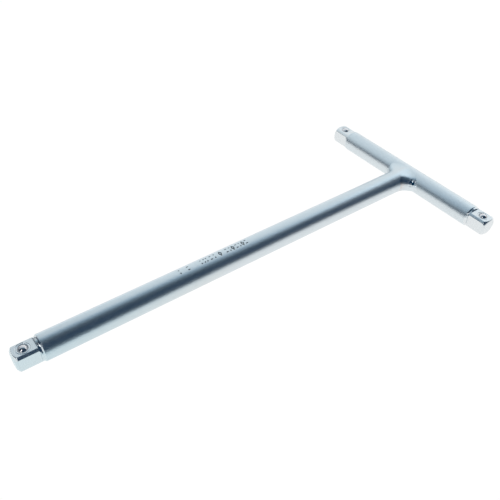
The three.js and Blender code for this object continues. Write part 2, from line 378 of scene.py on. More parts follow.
def drill(bar, end):
    """Cuts the hole of one end's ball into the upper flat of its square."""
    ball_low, ball_high = box_mm(end + "_detent_ball")
    centre = (ball_low + ball_high) / 2
    flat_centre = (centre[0], centre[1], AXIS_Z + HALF_DRIVE)
    cutter = lathe_upright("cutter", pocket_profile(), flat_centre)
    cut(bar, cutter)
    bpy.data.objects.remove(cutter)


def shaft_place(points):
    """(along, across, up) to the object's frame: the angles run from the top towards -Y."""
    along, across, up = points.T
    return np.stack([SHAFT_LOW[0] + along, -across, AXIS_Z + up], axis=-1)


def crossbar_place(points):
    """The crossbar's distances start at its -Y tip, and its angles run from the top towards +X."""
    along, across, up = points.T
    return np.stack([JUNCTION_X + across, BAR_LOW[1] + along, AXIS_Z + up], axis=-1)


# A plain stamped row of diamonds, pairs of dashes and pairs of punch dots, which spells nothing:
# (distance from the row's start, kind).
MARK_ROW = [
    (0.4, "dots"), (5.3, "dash"),
    (13.0, "dots"), (14.9, "dots"), (16.4, "dots"), (18.8, "dash"), (21.2, "dots"),
    (24.6, "diamond"), (28.6, "dash"), (30.7, "dots"), (32.6, "diamond"), (35.0, "dash"),
    (37.0, "dots"), (38.9, "diamond"), (41.0, "dash"),
]
MARK_ROW_START = 85.4  # from the shaft's tip
MARK_MIDDLE = math.radians(-3.7)
MARK_HALF_HEIGHT = 1.5
MARK_HALF_WIDTH = 0.7
MARK_PAIR_HEIGHT = MARK_HALF_HEIGHT * 0.8  # from the row's middle to each dash or dot of a pair
MARK_DEPTH = 0.4
MARK_LINE = 0.22
MARK_WALL = 0.14
MARK_NOWHERE = 9.0
DOT_RADIUS = 0.1


def stamp_depth(along, angle):
    """How deep the stamped row goes at each point of the shaft's surface."""
    turned_angle = (angle + math.pi) % FULL_TURN - math.pi
    across = (turned_angle - MARK_MIDDLE) * SHAFT_R
    distance = np.full_like(across, MARK_NOWHERE)
    for start, kind in MARK_ROW:
        dx = np.abs(along - MARK_ROW_START - start)
        dy = np.abs(across)
        if kind == "diamond":
            one = np.abs(dx / MARK_HALF_WIDTH + dy / MARK_HALF_HEIGHT - 1) * MARK_HALF_WIDTH
        elif kind == "dash":
            past_end = np.maximum(dx - MARK_HALF_WIDTH / 2, 0)
            one = np.hypot(past_end, np.abs(dy - MARK_PAIR_HEIGHT))
        else:
            one = np.hypot(dx, np.abs(dy - MARK_PAIR_HEIGHT)) - DOT_RADIUS
        distance = np.minimum(distance, one)
    return MARK_DEPTH * smooth_step(-distance, -MARK_LINE - MARK_WALL, -MARK_LINE + MARK_WALL)


# ------------------------------------------------------------ materials

CHROME = (0.69, 0.75, 0.78)
SATIN_ROUGHNESS = 0.36
UNBLASTED_ROUGHNESS = 0.13  # in the weld's dents
POLISH_ROUGHNESS = 0.23
PLAIN_CHROME = (0.748, 0.785, 0.802)
PLAIN_METALLIC = 0.94  # a thin haze on the plain chrome lifts its blacks
BARE_METALLIC = 0.9  # and oil does the same on the balls and wires
WORN_METALLIC = 0.88
WORN_ROUGHNESS = 0.08
SPECK_METALLIC = 0.88  # pale specks in the blasted grain
SPECK_NOISE = (0.52, 0.64)  # noise values between which a speck comes up
SATIN_EDGE = (0.2, 0.1)  # millimetres before and past its edge in which the satin fades
STAIN_COLOUR = (0.62, 0.54, 0.50)
BALL_STEEL = (0.785, 0.75, 0.75)
WIRE_STEEL = (0.42, 0.43, 0.45)

# Noise scales, in features per metre.
COARSE_GRAIN = 1500.0
FINE_GRAIN = 9000.0
SPECKS = 1000.0
BAR_CLOUDS = 240.0
BAR_SPECKLE = 1900.0
SMEARS = 700.0
CUTTER_LINES = 420.0
WELD_CLOUDS = 500.0
STEEL_CLOUDS = 900.0
BALL_SCRATCHES = 3000.0
WIRE_SCRATCHES = 6000.0

# Depths of the bumps, in metres.
COARSE_DEPTH = 0.0001
FINE_DEPTH = 0.000015
CUTTER_DEPTH = 0.00001
BALL_SCRATCH_DEPTH = 0.000001
WIRE_SCRATCH_DEPTH = 0.000006
PLAIN_GRAIN = 0.3  # how much of the coarse grain is left on the plain chrome


def new_material(name):
    material = bpy.data.materials.new(name)
    material.use_nodes = True
    return material, material.node_tree, material.node_tree.nodes["Principled BSDF"]


def object_coordinates(tree):
    return tree.nodes.new("ShaderNodeTexCoord").outputs["Object"]


def dot_with(tree, vector, direction):
    """How far a vector reaches along a fixed direction."""
    node = tree.nodes.new("ShaderNodeVectorMath")
    node.operation = "DOT_PRODUCT"
    node.inputs[1].default_value = direction
    tree.links.new(vector, node.inputs[0])
    return node.outputs["Value"]


def noise(tree, coordinates, per_metre, detail=3.0, roughness=0.55):
    node = tree.nodes.new("ShaderNodeTexNoise")
    node.inputs["Scale"].default_value = per_metre
    node.inputs["Detail"].default_value = detail
    node.inputs["Roughness"].default_value = roughness
    tree.links.new(coordinates, node.inputs["Vector"])
    return node.outputs["Fac"]


def map_range(tree, value, from_low, from_high, to_low, to_high, smooth=False):
    node = tree.nodes.new("ShaderNodeMapRange")
    if smooth:
        node.interpolation_type = "SMOOTHSTEP"
    node.inputs["From Min"].default_value = from_low
    node.inputs["From Max"].default_value = from_high
    node.inputs["To Min"].default_value = to_low
    node.inputs["To Max"].default_value = to_high
    tree.links.new(value, node.inputs["Value"])
    return node.outputs["Result"]


def mix_colour(tree, share, first, second):
    node = tree.nodes.new("ShaderNodeMix")
    node.data_type = "RGBA"
    for socket, colour in ((node.inputs[6], first), (node.inputs[7], second)):
        if isinstance(colour, tuple):
            socket.default_value = (*colour, 1.0)
        else:
            tree.links.new(colour, socket)
    tree.links.new(share, node.inputs[0])
    return node.outputs[2]


def bump(tree, height, strength, distance, normal=None):
    node = tree.nodes.new("ShaderNodeBump")
    node.inputs["Strength"].default_value = strength
    node.inputs["Distance"].default_value = distance
    tree.links.new(height, node.inputs["Height"])
    if normal is not None:
        tree.links.new(normal, node.inputs["Normal"])
    return node.outputs["Normal"]


def blend_values(tree, share, first, second):
    node = tree.nodes.new("ShaderNodeMix")
    for socket, value in ((node.inputs[2], first), (node.inputs[3], second)):
        if isinstance(value, float):
            socket.default_value = value
        else:
            tree.links.new(value, socket)
    tree.links.new(share, node.inputs[0])
    return node.outputs[0]


def calculate(tree, operation, first, second=0.0):
    node = tree.nodes.new("ShaderNodeMath")
    node.operation = operation
    for socket, value in ((node.inputs[0], first), (node.inputs[1], second)):
        if isinstance(value, float):
            socket.default_value = value
        else:
            tree.links.new(value, socket)
    return node.outputs[0]


def distance_along(tree, place, axis, centre_mm):
    """Distance in metres from a plane across the given axis."""
    split = tree.nodes.new("ShaderNodeSeparateXYZ")
    tree.links.new(place, split.inputs[0])
    offset = calculate(tree, "SUBTRACT", split.outputs[axis], float(centre_mm * MM))
    return calculate(tree, "ABSOLUTE", offset)


def attribute(tree, name):
    node = tree.nodes.new("ShaderNodeAttribute")
    node.attribute_name = name
    return node.outputs["Fac"]


def scaled(colour, factor):
    return tuple(min(1.0, channel * factor) for channel in colour)


def grain_heights(tree, place):
    """The pits that bead blasting leaves, coarse and fine."""
    coarse = noise(tree, place, COARSE_GRAIN, roughness=0.6)
    fine = noise(tree, place, FINE_GRAIN, detail=2.0)
    return coarse, fine


def grain_bumps(tree, coarse, fine, under=None):
    normal = bump(tree, coarse, 0.55, COARSE_DEPTH, under)
    return bump(tree, fine, 0.5, FINE_DEPTH, normal)


def cutter_lines(tree, place):
    """The fine slanting lines that the milling cutter leaves."""
    node = tree.nodes.new("ShaderNodeTexWave")
    node.inputs["Scale"].default_value = CUTTER_LINES
    node.inputs["Distortion"].default_value = 1.2
    node.inputs["Detail"].default_value = 2.0
    node.bands_direction = "DIAGONAL"
    tree.links.new(place, node.inputs["Vector"])
    return node.outputs["Fac"]


def bar_chrome(name, axis, centre_mm, reach_mm):
    """Satin chrome on the bar, plain chrome from the collar out over each milled square, and
    painted shade in the stamped marks.
    """
    material, tree, shader = new_material(name)
    place = object_coordinates(tree)
    away = distance_along(tree, place, axis, centre_mm)
    edge = (reach_mm - DRIVE_LENGTH - POLISHED_COLLAR) * MM
    fade_start = edge - SATIN_EDGE[0] * MM
    fade_end = edge + SATIN_EDGE[1] * MM
    satin = map_range(tree, away, fade_start, fade_end, 1.0, 0.0, smooth=True)
    worn = attribute(tree, "worn")
    haze = blend_values(tree, worn, PLAIN_METALLIC, WORN_METALLIC)
    specks = noise(tree, place, SPECKS, roughness=0.7)
    specks = map_range(tree, specks, *SPECK_NOISE, 1.0, SPECK_METALLIC)
    tree.links.new(blend_values(tree, satin, haze, specks), shader.inputs["Metallic"])

    cloud = noise(tree, place, BAR_CLOUDS, detail=4.0)
    speckle = noise(tree, place, BAR_SPECKLE, detail=4.0, roughness=0.7)
    dark_share = map_range(tree, speckle, 0.62, 0.8, 0.0, 0.5)
    # Painted shade: the stamped marks are darkened towards a quarter of the chrome's colour,
    # standing in for the shade in their hollows.
    carved = map_range(tree, attribute(tree, "carved"), 0.05, 0.3, 0.0, 0.9)
    colour = mix_colour(tree, cloud, scaled(CHROME, 0.965), scaled(CHROME, 1.025))
    colour = mix_colour(tree, dark_share, colour, scaled(CHROME, 0.8))
    colour = mix_colour(tree, carved, colour, scaled(CHROME, 0.25))
    colour = mix_colour(tree, satin, PLAIN_CHROME, colour)
    tree.links.new(colour, shader.inputs["Base Color"])

    satin_rough = map_range(tree, speckle, 0.3, 0.7, SATIN_ROUGHNESS - 0.04, SATIN_ROUGHNESS + 0.04)
    smear = noise(tree, place, SMEARS)
    plain_rough = map_range(tree, smear, 0.3, 0.7, POLISH_ROUGHNESS - 0.05, POLISH_ROUGHNESS + 0.06)
    worn_rough = calculate(tree, "MULTIPLY", worn, WORN_ROUGHNESS)
    plain_rough = calculate(tree, "ADD", plain_rough, worn_rough)
    tree.links.new(blend_values(tree, satin, plain_rough, satin_rough), shader.inputs["Roughness"])

    plain = calculate(tree, "SUBTRACT", 1.0, satin)
    lines = calculate(tree, "MULTIPLY", cutter_lines(tree, place), plain)
    lines = bump(tree, lines, 0.35, CUTTER_DEPTH)
    coarse, fine = grain_heights(tree, place)
    coarse = calculate(tree, "MULTIPLY", coarse, blend_values(tree, satin, PLAIN_GRAIN, 1.0))
    fine = calculate(tree, "MULTIPLY", fine, satin)
    tree.links.new(grain_bumps(tree, coarse, fine, lines), shader.inputs["Normal"])
    return material


def weld_chrome(name):
    """Satin chrome over a ground weld, with a faint warm stain along its toe, shiny dents and
    painted shade in its pits.
    """
    material, tree, shader = new_material(name)
    place = object_coordinates(tree)
    shader.inputs["Metallic"].default_value = 1.0
    cloud = noise(tree, place, WELD_CLOUDS, detail=4.0)
    patchy = map_range(tree, cloud, 0.35, 0.6, 0.3, 1.0)
    stain = calculate(tree, "MULTIPLY", attribute(tree, "stain"), patchy)
    # Painted shade: the pits are darkened towards under a third of the chrome's colour, standing in
    # for the shade in them.
    carved = map_range(tree, attribute(tree, "carved"), 0.02, 0.3, 0.0, 0.8)
    colour = mix_colour(tree, cloud, scaled(CHROME, 0.95), scaled(CHROME, 1.04))
    colour = mix_colour(tree, stain, colour, STAIN_COLOUR)
    colour = mix_colour(tree, carved, colour, scaled(CHROME, 0.3))
    tree.links.new(colour, shader.inputs["Base Color"])
    rough = map_range(tree, cloud, 0.3, 0.7, SATIN_ROUGHNESS - 0.08, SATIN_ROUGHNESS + 0.03)
    rough = blend_values(tree, attribute(tree, "unblasted"), rough, UNBLASTED_ROUGHNESS)
    tree.links.new(rough, shader.inputs["Roughness"])
    coarse, fine = grain_heights(tree, place)
    tree.links.new(grain_bumps(tree, coarse, fine), shader.inputs["Normal"])
    return material


def bare_steel(name, tint, rough_value, scratches_per_metre, scratch_depth):
    """Plain hardened steel: a polished ball or a drawn wire, with fine scratches."""
    material, tree, shader = new_material(name)
    place = object_coordinates(tree)
    shader.inputs["Metallic"].default_value = BARE_METALLIC
    cloud = noise(tree, place, STEEL_CLOUDS)
    colour = mix_colour(tree, cloud, scaled(tint, 0.94), scaled(tint, 1.04))
    tree.links.new(colour, shader.inputs["Base Color"])
    rough = map_range(tree, cloud, 0.3, 0.7, rough_value * 0.75, rough_value * 1.25)
    tree.links.new(rough, shader.inputs["Roughness"])
    scratches = noise(tree, place, scratches_per_metre, detail=2.0)
    tree.links.new(bump(tree, scratches, 0.4, scratch_depth), shader.inputs["Normal"])
    return material


SHAFT_CHROME = bar_chrome("shaft_satin_chrome", 0, JUNCTION_X, SHAFT_REACH)
CROSSBAR_CHROME = bar_chrome("crossbar_satin_chrome", 1, 0.0, CROSSBAR_LENGTH / 2)
WELD_CHROME = weld_chrome("weld_satin_chrome")
STEEL = bare_steel("ball_steel", BALL_STEEL, 0.07, BALL_SCRATCHES, BALL_SCRATCH_DEPTH)
SPRING = bare_steel("spring_steel", WIRE_STEEL, 0.3, WIRE_SCRATCHES, WIRE_SCRATCH_DEPTH)

# ------------------------------------------------------------ shaft and crossbar


def build_shaft():
    nose = SHAFT_REACH - CROSSBAR_R - NOSE_GAP
    bevel = SHAFT_REACH - BEVEL_START
    stations = end_stations(SHAFT_R)
    for along in np.arange(EVEN_START, MARK_START, SHAFT_STEP):
        stations.append(plain_station(along, SHAFT_R))
    for along in np.arange(MARK_START, MARK_END, MARK_STEP):
        stations.append(plain_station(along, SHAFT_R))
    for along in np.arange(MARK_END, bevel - 1, SHAFT_STEP):
        stations.append(plain_station(along, SHAFT_R))
    stations.append(plain_station(bevel, SHAFT_R))
    for share in BEVEL_SHARES:
        along = bevel + (nose - bevel) * share
        stations.append(plain_station(along, SHAFT_R + (NOSE_R - SHAFT_R) * share))
    stations.append(plain_station(nose, NOSE_R / 2))
    angles = bar_angles(SHAFT_TOP_STEP)
    shaft = closed_bar("shaft_bar", stations, angles, shaft_place, SHAFT_CHROME, stamp_depth)
    drill(shaft, "shaft")
    return shaft


def build_crossbar():
    one_end = end_stations(CROSSBAR_R)
    stations = list(one_end)
    for along in np.arange(EVEN_START, CROSSBAR_LENGTH - CROSSBAR_LAST, CROSSBAR_STEP):
        stations.append(plain_station(along, CROSSBAR_R))
    stations += [(CROSSBAR_LENGTH - row[0], *row[1:]) for row in reversed(one_end)]
    angles = bar_angles(CROSSBAR_TOP_STEP)
    bar = closed_bar("crossbar_bar", stations, angles, crossbar_place, CROSSBAR_CHROME)
    for end in ("left", "right"):
        drill(bar, end)
    return bar


shaft_bar = build_shaft()
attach(shaft_bar, "handle")
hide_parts("shaft")

crossbar_bar = build_crossbar()
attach(crossbar_bar, "handle")
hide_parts("crossbar")

# ------------------------------------------------------------ weld
# Its right-hand side is the -Y side. Angles run round the shaft from the top towards -Y.

WELD_ROWS = 64
WELD_COLUMNS = 320
WELD_FULLNESS = 0.34  # length of the blend's handles: smaller is fuller
WELD_TOE = 13.2  # crossbar axis to the weld's edge on the shaft's right-hand side
WELD_TOE_EXTRA = 1.0  # how much nearer that edge is on the left
SIDE_BLEND = 0.3  # how gradually the right-hand side turns into the left, as a sine

WELD_CREASE_RIGHT = 0.6  # 0 leaves the crossbar smoothly, 1 along the chord
WELD_CREASE_LEFT = 0.9
CREASE_SHARPNESS = 8  # how suddenly the crease fades at the top and underneath

# The weld's edge along the crossbar: (degrees from the top, distance from the shaft's axis).
WELD_EDGE_RIGHT = [
    (0, 0), (15, 4.4), (27, 8.6), (41, 10.4), (52, 11.2), (62, 12.0), (70, 12.6), (78, 13.1),
    (92, 13.2), (112, 12.4), (135, 10.2), (158, 6.0), (180, 0),
]
WELD_EDGE_LEFT = [
    (0, 0), (15, 6.0), (32, 9.8), (52, 10.5), (69, 10.8), (92, 10.9), (112, 10.6), (135, 9.0),
    (158, 5.0), (180, 0),
]
EDGE_SMOOTHING = np.linspace(-8, 8, 9)  # degrees either side that each place of the edge averages
EDGE_MEETING = 6.0  # degrees over which the two edges run together
ON_BAR = 0.01  # how far below the top of the crossbar the edge stops
INNER_EXTRA = 0.4  # the hidden inside clears the shaft's nose by this
INNER_GAP = 0.04
INNER_SHARES = (0.35, 0.7, 1.0)  # hidden rows from the crossbar's edge in to the nose
RETURN_SHARES = (0.3, 0.65, 0.92)  # and from the nose back to the toe

STAIN_STRENGTH = 0.75  # the warm stain at the weld's toe, on its right-hand side only
STAIN_PLACE = 0.1  # as a share of the way from the shaft to the crossbar
STAIN_WIDTH = 0.2
STAIN_GROWS = (25, 50)  # degrees from the top
STAIN_FADES = (95, 150)

LUMP_WAVES = 14
LUMP_SUM = 6  # the waves seldom add up to more
LUMP_SIZE = 4.5
LUMP_HEIGHT = 0.05
LUMP_GROWS = (0.0, 0.12)  # as shares of the way from the shaft to the crossbar
LUMP_FADES = (0.9, 1.0)
PATCH_CENTRE = (-6.6, -8.6, 1.8)  # the rougher patch, measured from the crossing of the axes
PATCH_RADIUS = 2.3
PATCH_LUMP_SIZE = 1.7
PATCH_LUMP_HEIGHT = 0.2
HOLLOW_REACH = 1.2  # how far a pit or dent reaches along X
DENT_SHINE = 4  # a dent shines fully from a depth of 1 / DENT_SHINE

# Faults on the right-hand side: (place from the axes' crossing, length along Y, height, depth).
WELD_PITS = [
    ((-6.8, -8.0, -0.6), 0.6, 0.55, 0.4),
    ((-6.6, -9.9, 0.9), 0.6, 0.5, 0.4),
    ((-7.2, -7.4, 2.6), 0.6, 0.6, 0.3),
]
WELD_DENTS = [
    ((-6.0, -11.2, 2.6), 1.5, 0.8, 0.6),
    ((-6.5, -9.2, 3.0), 0.8, 0.6, 0.35),
]


def weld_edge(degrees):
    """Place along Y of the weld's edge on the crossbar, for angles from the top towards -Y."""
    degrees = degrees % 360
    from_top = np.minimum(degrees, 360 - degrees)
    smooth = np.zeros_like(from_top)
    for shift in EDGE_SMOOTHING:
        turned_by = np.abs(from_top + shift)
        turned_by = np.minimum(turned_by, 360 - turned_by)
        right = -np.interp(turned_by, *zip(*WELD_EDGE_RIGHT))
        left = np.interp(turned_by, *zip(*WELD_EDGE_LEFT))
        smooth += np.where(degrees < 180, right, left) / len(EDGE_SMOOTHING)
    top = smooth_step(from_top, 0.0, EDGE_MEETING)
    return smooth * top * smooth_step(180 - from_top, 0.0, EDGE_MEETING)


def unit(vectors):
    return vectors / np.linalg.norm(vectors, axis=1)[:, None]


def leaving_directions(angles, height, run, right):
    """Which way the blend meets the crossbar: over it at the top, along it at the sides."""
    sine = np.sin(angles)
    level = np.abs(height) / CROSSBAR_R
    over = np.stack([level, 0 * level, np.sign(height) * np.sqrt(1 - level**2)], axis=-1)
    along_bar = np.stack([0 * angles, -np.sign(sine), 0 * angles], axis=-1)
    weight = np.abs(sine)[:, None]
    crease = WELD_CREASE_LEFT + (WELD_CREASE_RIGHT - WELD_CREASE_LEFT) * right
    crease = (crease * (1 - np.abs(np.cos(angles)) ** CREASE_SHARPNESS))[:, None]
    leaving = unit(along_bar * weight + over * (1 - weight))
    return unit(leaving * (1 - crease) + unit(run) * crease)


def weld_surface():
    """The blend from the shaft out over the crossbar, and the hidden inside that closes it."""
    angles = np.linspace(0, FULL_TURN, WELD_COLUMNS, endpoint=False)
    sine = np.sin(angles)
    right = smooth_step(sine, -SIDE_BLEND, SIDE_BLEND)
    toe = WELD_TOE - WELD_TOE_EXTRA * (1 - right)
    edge = weld_edge(np.degrees(angles))
    start = np.stack([-toe, -SHAFT_R * sine, SHAFT_R * np.cos(angles)], axis=-1)
    height = (CROSSBAR_R - ON_BAR) * np.cos(angles)
    end = np.stack([-np.sqrt(CROSSBAR_R**2 - height**2), edge, height], axis=-1)
    chord = np.linalg.norm(end - start, axis=1)[:, None]
    leaving = leaving_directions(angles, height, end - start, right)
    first_handle = start + np.array([1.0, 0, 0]) * chord * WELD_FULLNESS
    second_handle = end - leaving * chord * WELD_FULLNESS
    rows = []
    for share in np.linspace(0, 1, WELD_ROWS):
        rest = 1 - share
        rows.append(
            rest**3 * start
            + 3 * rest**2 * share * first_handle
            + 3 * rest * share**2 * second_handle
            + share**3 * end
        )
    inner_r = NOSE_R + INNER_EXTRA
    nose_height = inner_r * np.cos(angles)
    nose_depth = -np.sqrt(CROSSBAR_R**2 - nose_height**2)
    nose = np.stack([nose_depth, -inner_r * sine, nose_height], axis=-1)
    for share in INNER_SHARES:
        between = end * (1 - share) + nose * share
        squared_depth = np.clip(CROSSBAR_R**2 - between[:, 2] ** 2, 0, None)
        between[:, 0] = -np.sqrt(squared_depth) + INNER_GAP
        rows.append(between)
    for share in RETURN_SHARES:
        rows.append(nose * (1 - share) + start * share)
    return np.array(rows)


def surface_normals(rows):
    along = np.gradient(rows, axis=0)
    round_it = np.roll(rows, -1, axis=1) - np.roll(rows, 1, axis=1)
    normals = np.cross(round_it, along)
    length = np.linalg.norm(normals, axis=2, keepdims=True)
    return normals / np.maximum(length, 1e-9)


def lumps(points, size, seed):
    """Smooth unevenness, mostly between -1 and 1, the same at each run."""
    generator = np.random.default_rng(seed)
    total = np.zeros(points.shape[:-1])
    for _ in range(LUMP_WAVES):
        direction = generator.normal(size=3)
        direction /= np.linalg.norm(direction)
        total += np.sin(points @ direction * FULL_TURN / size + generator.uniform(0, FULL_TURN))
    return total / LUMP_SUM


def hollows(points, places):
    """How deep the given hollows go at each point."""
    depths = np.zeros(points.shape[:-1])
    for centre, length, height, depth in places:
        offset = (points - np.array(centre)) / np.array([HOLLOW_REACH, length, height])
        depths = np.maximum(depths, depth * np.exp(-np.sum(offset**2, axis=-1)))
    return depths


def weld_faults(rows):
    """How far the weld stands out at each point, how deep its pits are and where it shines."""
    outer = rows[:WELD_ROWS]
    share = np.linspace(0, 1, WELD_ROWS)[:, None]
    fade = smooth_step(share, *LUMP_GROWS) * (1 - smooth_step(share, *LUMP_FADES))
    lift = LUMP_HEIGHT * lumps(outer, LUMP_SIZE, SEED) * fade
    from_patch = np.sum((outer - np.array(PATCH_CENTRE)) ** 2, axis=2)
    rough_patch = np.exp(-from_patch / PATCH_RADIUS**2)
    lift += PATCH_LUMP_HEIGHT * lumps(outer, PATCH_LUMP_SIZE, SEED + 1) * rough_patch * fade
    dents = hollows(outer, WELD_DENTS)
    pits = hollows(outer, WELD_PITS)
    unblasted = np.clip(dents * DENT_SHINE, 0, 1)
    return lift - dents - pits, pits, unblasted


def weld_place(points):
    return points + np.array([JUNCTION_X, 0, AXIS_Z])


def build_weld():
    rows = weld_surface()
    lift, pits, unblasted = weld_faults(rows)
    normals = surface_normals(rows[:WELD_ROWS])
    outward = np.sign(np.sum(normals[WELD_ROWS // 2, 0] * np.array([-1.0, 0, 1.0])))
    rows[:WELD_ROWS] += normals * outward * lift[..., None]
    rows[..., 2] = np.clip(rows[..., 2], -SHAFT_R, SHAFT_R)
    # The hidden inside ends on the shaft again, and the last faces join it to the first row.
    count = len(rows)
    faces = grid_faces(count, WELD_COLUMNS)
    tail = (count - 1) * WELD_COLUMNS
    for column in range(WELD_COLUMNS):
        following = (column + 1) % WELD_COLUMNS
        faces.append((tail + column, tail + following, following, column))
    obj = make_object("weld_blend", weld_place(rows.reshape(-1, 3)), faces, WELD_CHROME)
    hidden = np.zeros((count - WELD_ROWS) * WELD_COLUMNS)
    share = np.linspace(0, 1, WELD_ROWS)[:, None] + np.zeros((1, WELD_COLUMNS))
    degrees = np.linspace(0, 360, WELD_COLUMNS, endpoint=False)[None, :]
    round_it = smooth_step(degrees, *STAIN_GROWS) * (1 - smooth_step(degrees, *STAIN_FADES))
    stain = np.exp(-(((share - STAIN_PLACE) / STAIN_WIDTH) ** 2)) * round_it * STAIN_STRENGTH
    for name, values in (("carved", pits), ("stain", stain), ("unblasted", unblasted)):
        add_values(obj, name, np.append(values.reshape(-1), hidden))
    return obj


weld_blend = build_weld()
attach(weld_blend, "handle")
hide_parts("weld_bead")

# ------------------------------------------------------------ balls and springs

BALL_CUTS = 24  # squares along each side of a ball's six patches
SPRING_WIRE = 0.5
SPRING_TURNS = 4.5
WIRE_SIDES = 10
STEPS_PER_TURN = 28
CLOSED_COIL = 0.08  # share of the length at each end where the coil lies nearly level
LEVEL_PITCH = 0.15  # share of the height that is spread evenly over the whole length


def ball_mesh(name, centre, radius):
    """A ball from six curved square patches, so that no pole shows."""
    corners = BALL_CUTS + 1
    steps = np.tan(np.linspace(-math.pi / 4, math.pi / 4, corners))
    vertices = []
    faces = []
    for axis in range(3):
        for sign in (-1.0, 1.0):
            start = len(vertices)
            for u in steps:
                for v in steps:
                    point = np.zeros(3)
                    point[axis] = sign
                    point[(axis + 1) % 3] = u * sign
                    point[(axis + 2) % 3] = v
                    vertices.append(centre + radius * point / np.linalg.norm(point))
            for row in range(BALL_CUTS):
                for column in range(BALL_CUTS):
                    a = start + row * corners + column
                    faces.append((a, a + corners, a + corners + 1, a + 1))
    obj = make_object(name, vertices, faces, STEEL)
    merge(obj)
    return obj


def spring_mesh(name, low, high):
    """A compression spring with a closed coil at each end."""
    wire_r = SPRING_WIRE / 2
    radius = (high[0] - low[0]) / 2 - wire_r
    centre = (low + high) / 2
    bottom = low[2] + wire_r
    top = high[2] - wire_r
    steps = int(SPRING_TURNS * STEPS_PER_TURN)
    up = np.array([0.0, 0.0, 1.0])
    points = []
    for step in range(steps + 1):
        share = step / steps
        lift = smooth_step(share, CLOSED_COIL, 1 - CLOSED_COIL)
        rise = bottom + (top - bottom) * ((1 - LEVEL_PITCH) * lift + LEVEL_PITCH * share)
        angle = share * SPRING_TURNS * FULL_TURN
        out = np.array([math.cos(angle), math.sin(angle), 0.0])
        middle = np.array([centre[0], centre[1], rise]) + out * radius
        for side in range(WIRE_SIDES):
            turn = FULL_TURN * side / WIRE_SIDES
            points.append(middle + (out * math.cos(turn) + up * math.sin(turn)) * wire_r)
    faces = grid_faces(steps + 1, WIRE_SIDES)
    faces.append(tuple(range(WIRE_SIDES)))
    faces.append(tuple(reversed(range(steps * WIRE_SIDES, (steps + 1) * WIRE_SIDES))))
    obj = make_object(name, points, faces, SPRING)
    merge(obj)
    return obj


for end in ("shaft", "left", "right"):
    ball_low, ball_high = box_mm(end + "_detent_ball")
    ball = ball_mesh(end + "_ball", (ball_low + ball_high) / 2, (ball_high[2] - ball_low[2]) / 2)
    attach(ball, end + "_ball")
    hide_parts(end + "_detent_ball")
    spring_low, spring_high = box_mm(end + "_detent_spring")
    spring = spring_mesh(end + "_spring", spring_low, spring_high)
    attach(spring, "handle")
    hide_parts(end + "_detent_spring")
    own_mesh(spring)

# ------------------------------------------------------------ floor, backdrop and light, in metres
# The planes glow, so that the chrome reflects even light. Their places and tints were fitted to the
# reflections on the bars.

FLOOR_RADIUS = 4.0
FLOOR_HEIGHT = -0.0002
ROUND_SIDES = 64
DOME_ROWS = 12
DOME_TIP_RADIUS = 1e-5  # keeps the backdrop's top ring open
FLOOR_GLOW = 1.02

# The front flag lies just above the floor, out of the camera's sight, and makes the dark band.
FLAG_TURN = 0.67
FLAG_HEIGHT = 0.0004
FLAG_NEAR = 0.02
FLAG_FAR = 3.5
FLAG_LEFT = -0.13
FLAG_RIGHT = 3
FLAG_EDGE = (0.150, 0.215)  # where its pale near part turns dark
FLAG_PALE = ((1.01, 0.995, 0.98), (0.66, 0.89, 0.965))
FLAG_DARK = (0.0, 0.028, 0.085)

# The overhead panel: u runs away from the camera and v to its right.
PANEL_TURN = 0.46
PANEL_HEIGHT = 0.28
PANEL_U = (-0.11, 1.6)
PANEL_V = (-0.9, 0.22)
PANEL_EDGE_COLOUR = (0.42, 0.78, 1.12)
PANEL_COLOUR = (0.88, 0.96, 1.01)
PANEL_EDGE = (-0.08, 0.2)  # the values of u between which the edge's colour gives way
# Its strength: (from, to, strength at from, strength at to). The near and far parts add up.
PANEL_NEAR_FADE = (PANEL_U[0], 0.16, 0.0, 0.84)
PANEL_FAR_FADE = (0.02, 0.45, 0.0, 0.16)
PANEL_SIDE_FADE = (-0.75, -0.1, 0.5, 1.0)

CARD_X = -0.6
CARD_BOTTOM = 0.001
CARD_COLOUR = (0.9, 0.96, 1.0)
CARD_GLOW = 0.95
# Two cards on the left: (name, nearest and farthest Y, height).
CARDS = [("left_card", -0.45, -0.04, 0.38), ("low_left_card", -0.04, 0.2, 0.05)]

LAMP_RADIANCE = 4.2
LAMP_WIDTH = 0.14
LAMP_LENGTH = 0.45
LAMP_PLACE = Vector((-0.606, -0.283, 0.743))

# The room's bright places. Each comes up between two cosines of the angle from its middle.
WALL_AZIMUTH = 0.852
WALL_RISE = 0.27
WALL_EDGE_COLOUR = (1.0, 1.19, 1.32)
WALL_COLOUR = (0.95, 0.98, 1.0)
WALL_COSINES = (0.55, 0.585)
WALL_EDGE_COSINES = (0.76, 0.95)  # where its edge's colour turns into its own
ROOM_COLOUR = (0.0, 0.026, 0.068)
SIDE_DIRECTION = (0.98, 0.08, 0.18)
SIDE_COLOUR = (1.1, 1.13, 1.15)
SIDE_COSINES = (0.84, 0.95)


def flat_directions(turn):
    """A level direction and the one to its right, turned clockwise from +Y."""
    ahead = Vector((math.sin(turn), math.cos(turn), 0))
    right = Vector((math.cos(turn), -math.sin(turn), 0))
    return ahead, right


def glow_material(name, colour=(1.0, 1.0, 1.0), strength=1.0):
    material = bpy.data.materials.new(name)
    material.use_nodes = True
    tree = material.node_tree
    tree.nodes.clear()
    output = tree.nodes.new("ShaderNodeOutputMaterial")
    emission = tree.nodes.new("ShaderNodeEmission")
    emission.inputs["Color"].default_value = (*colour, 1.0)
    emission.inputs["Strength"].default_value = strength
    tree.links.new(emission.outputs["Emission"], output.inputs["Surface"])
    return material, tree, emission


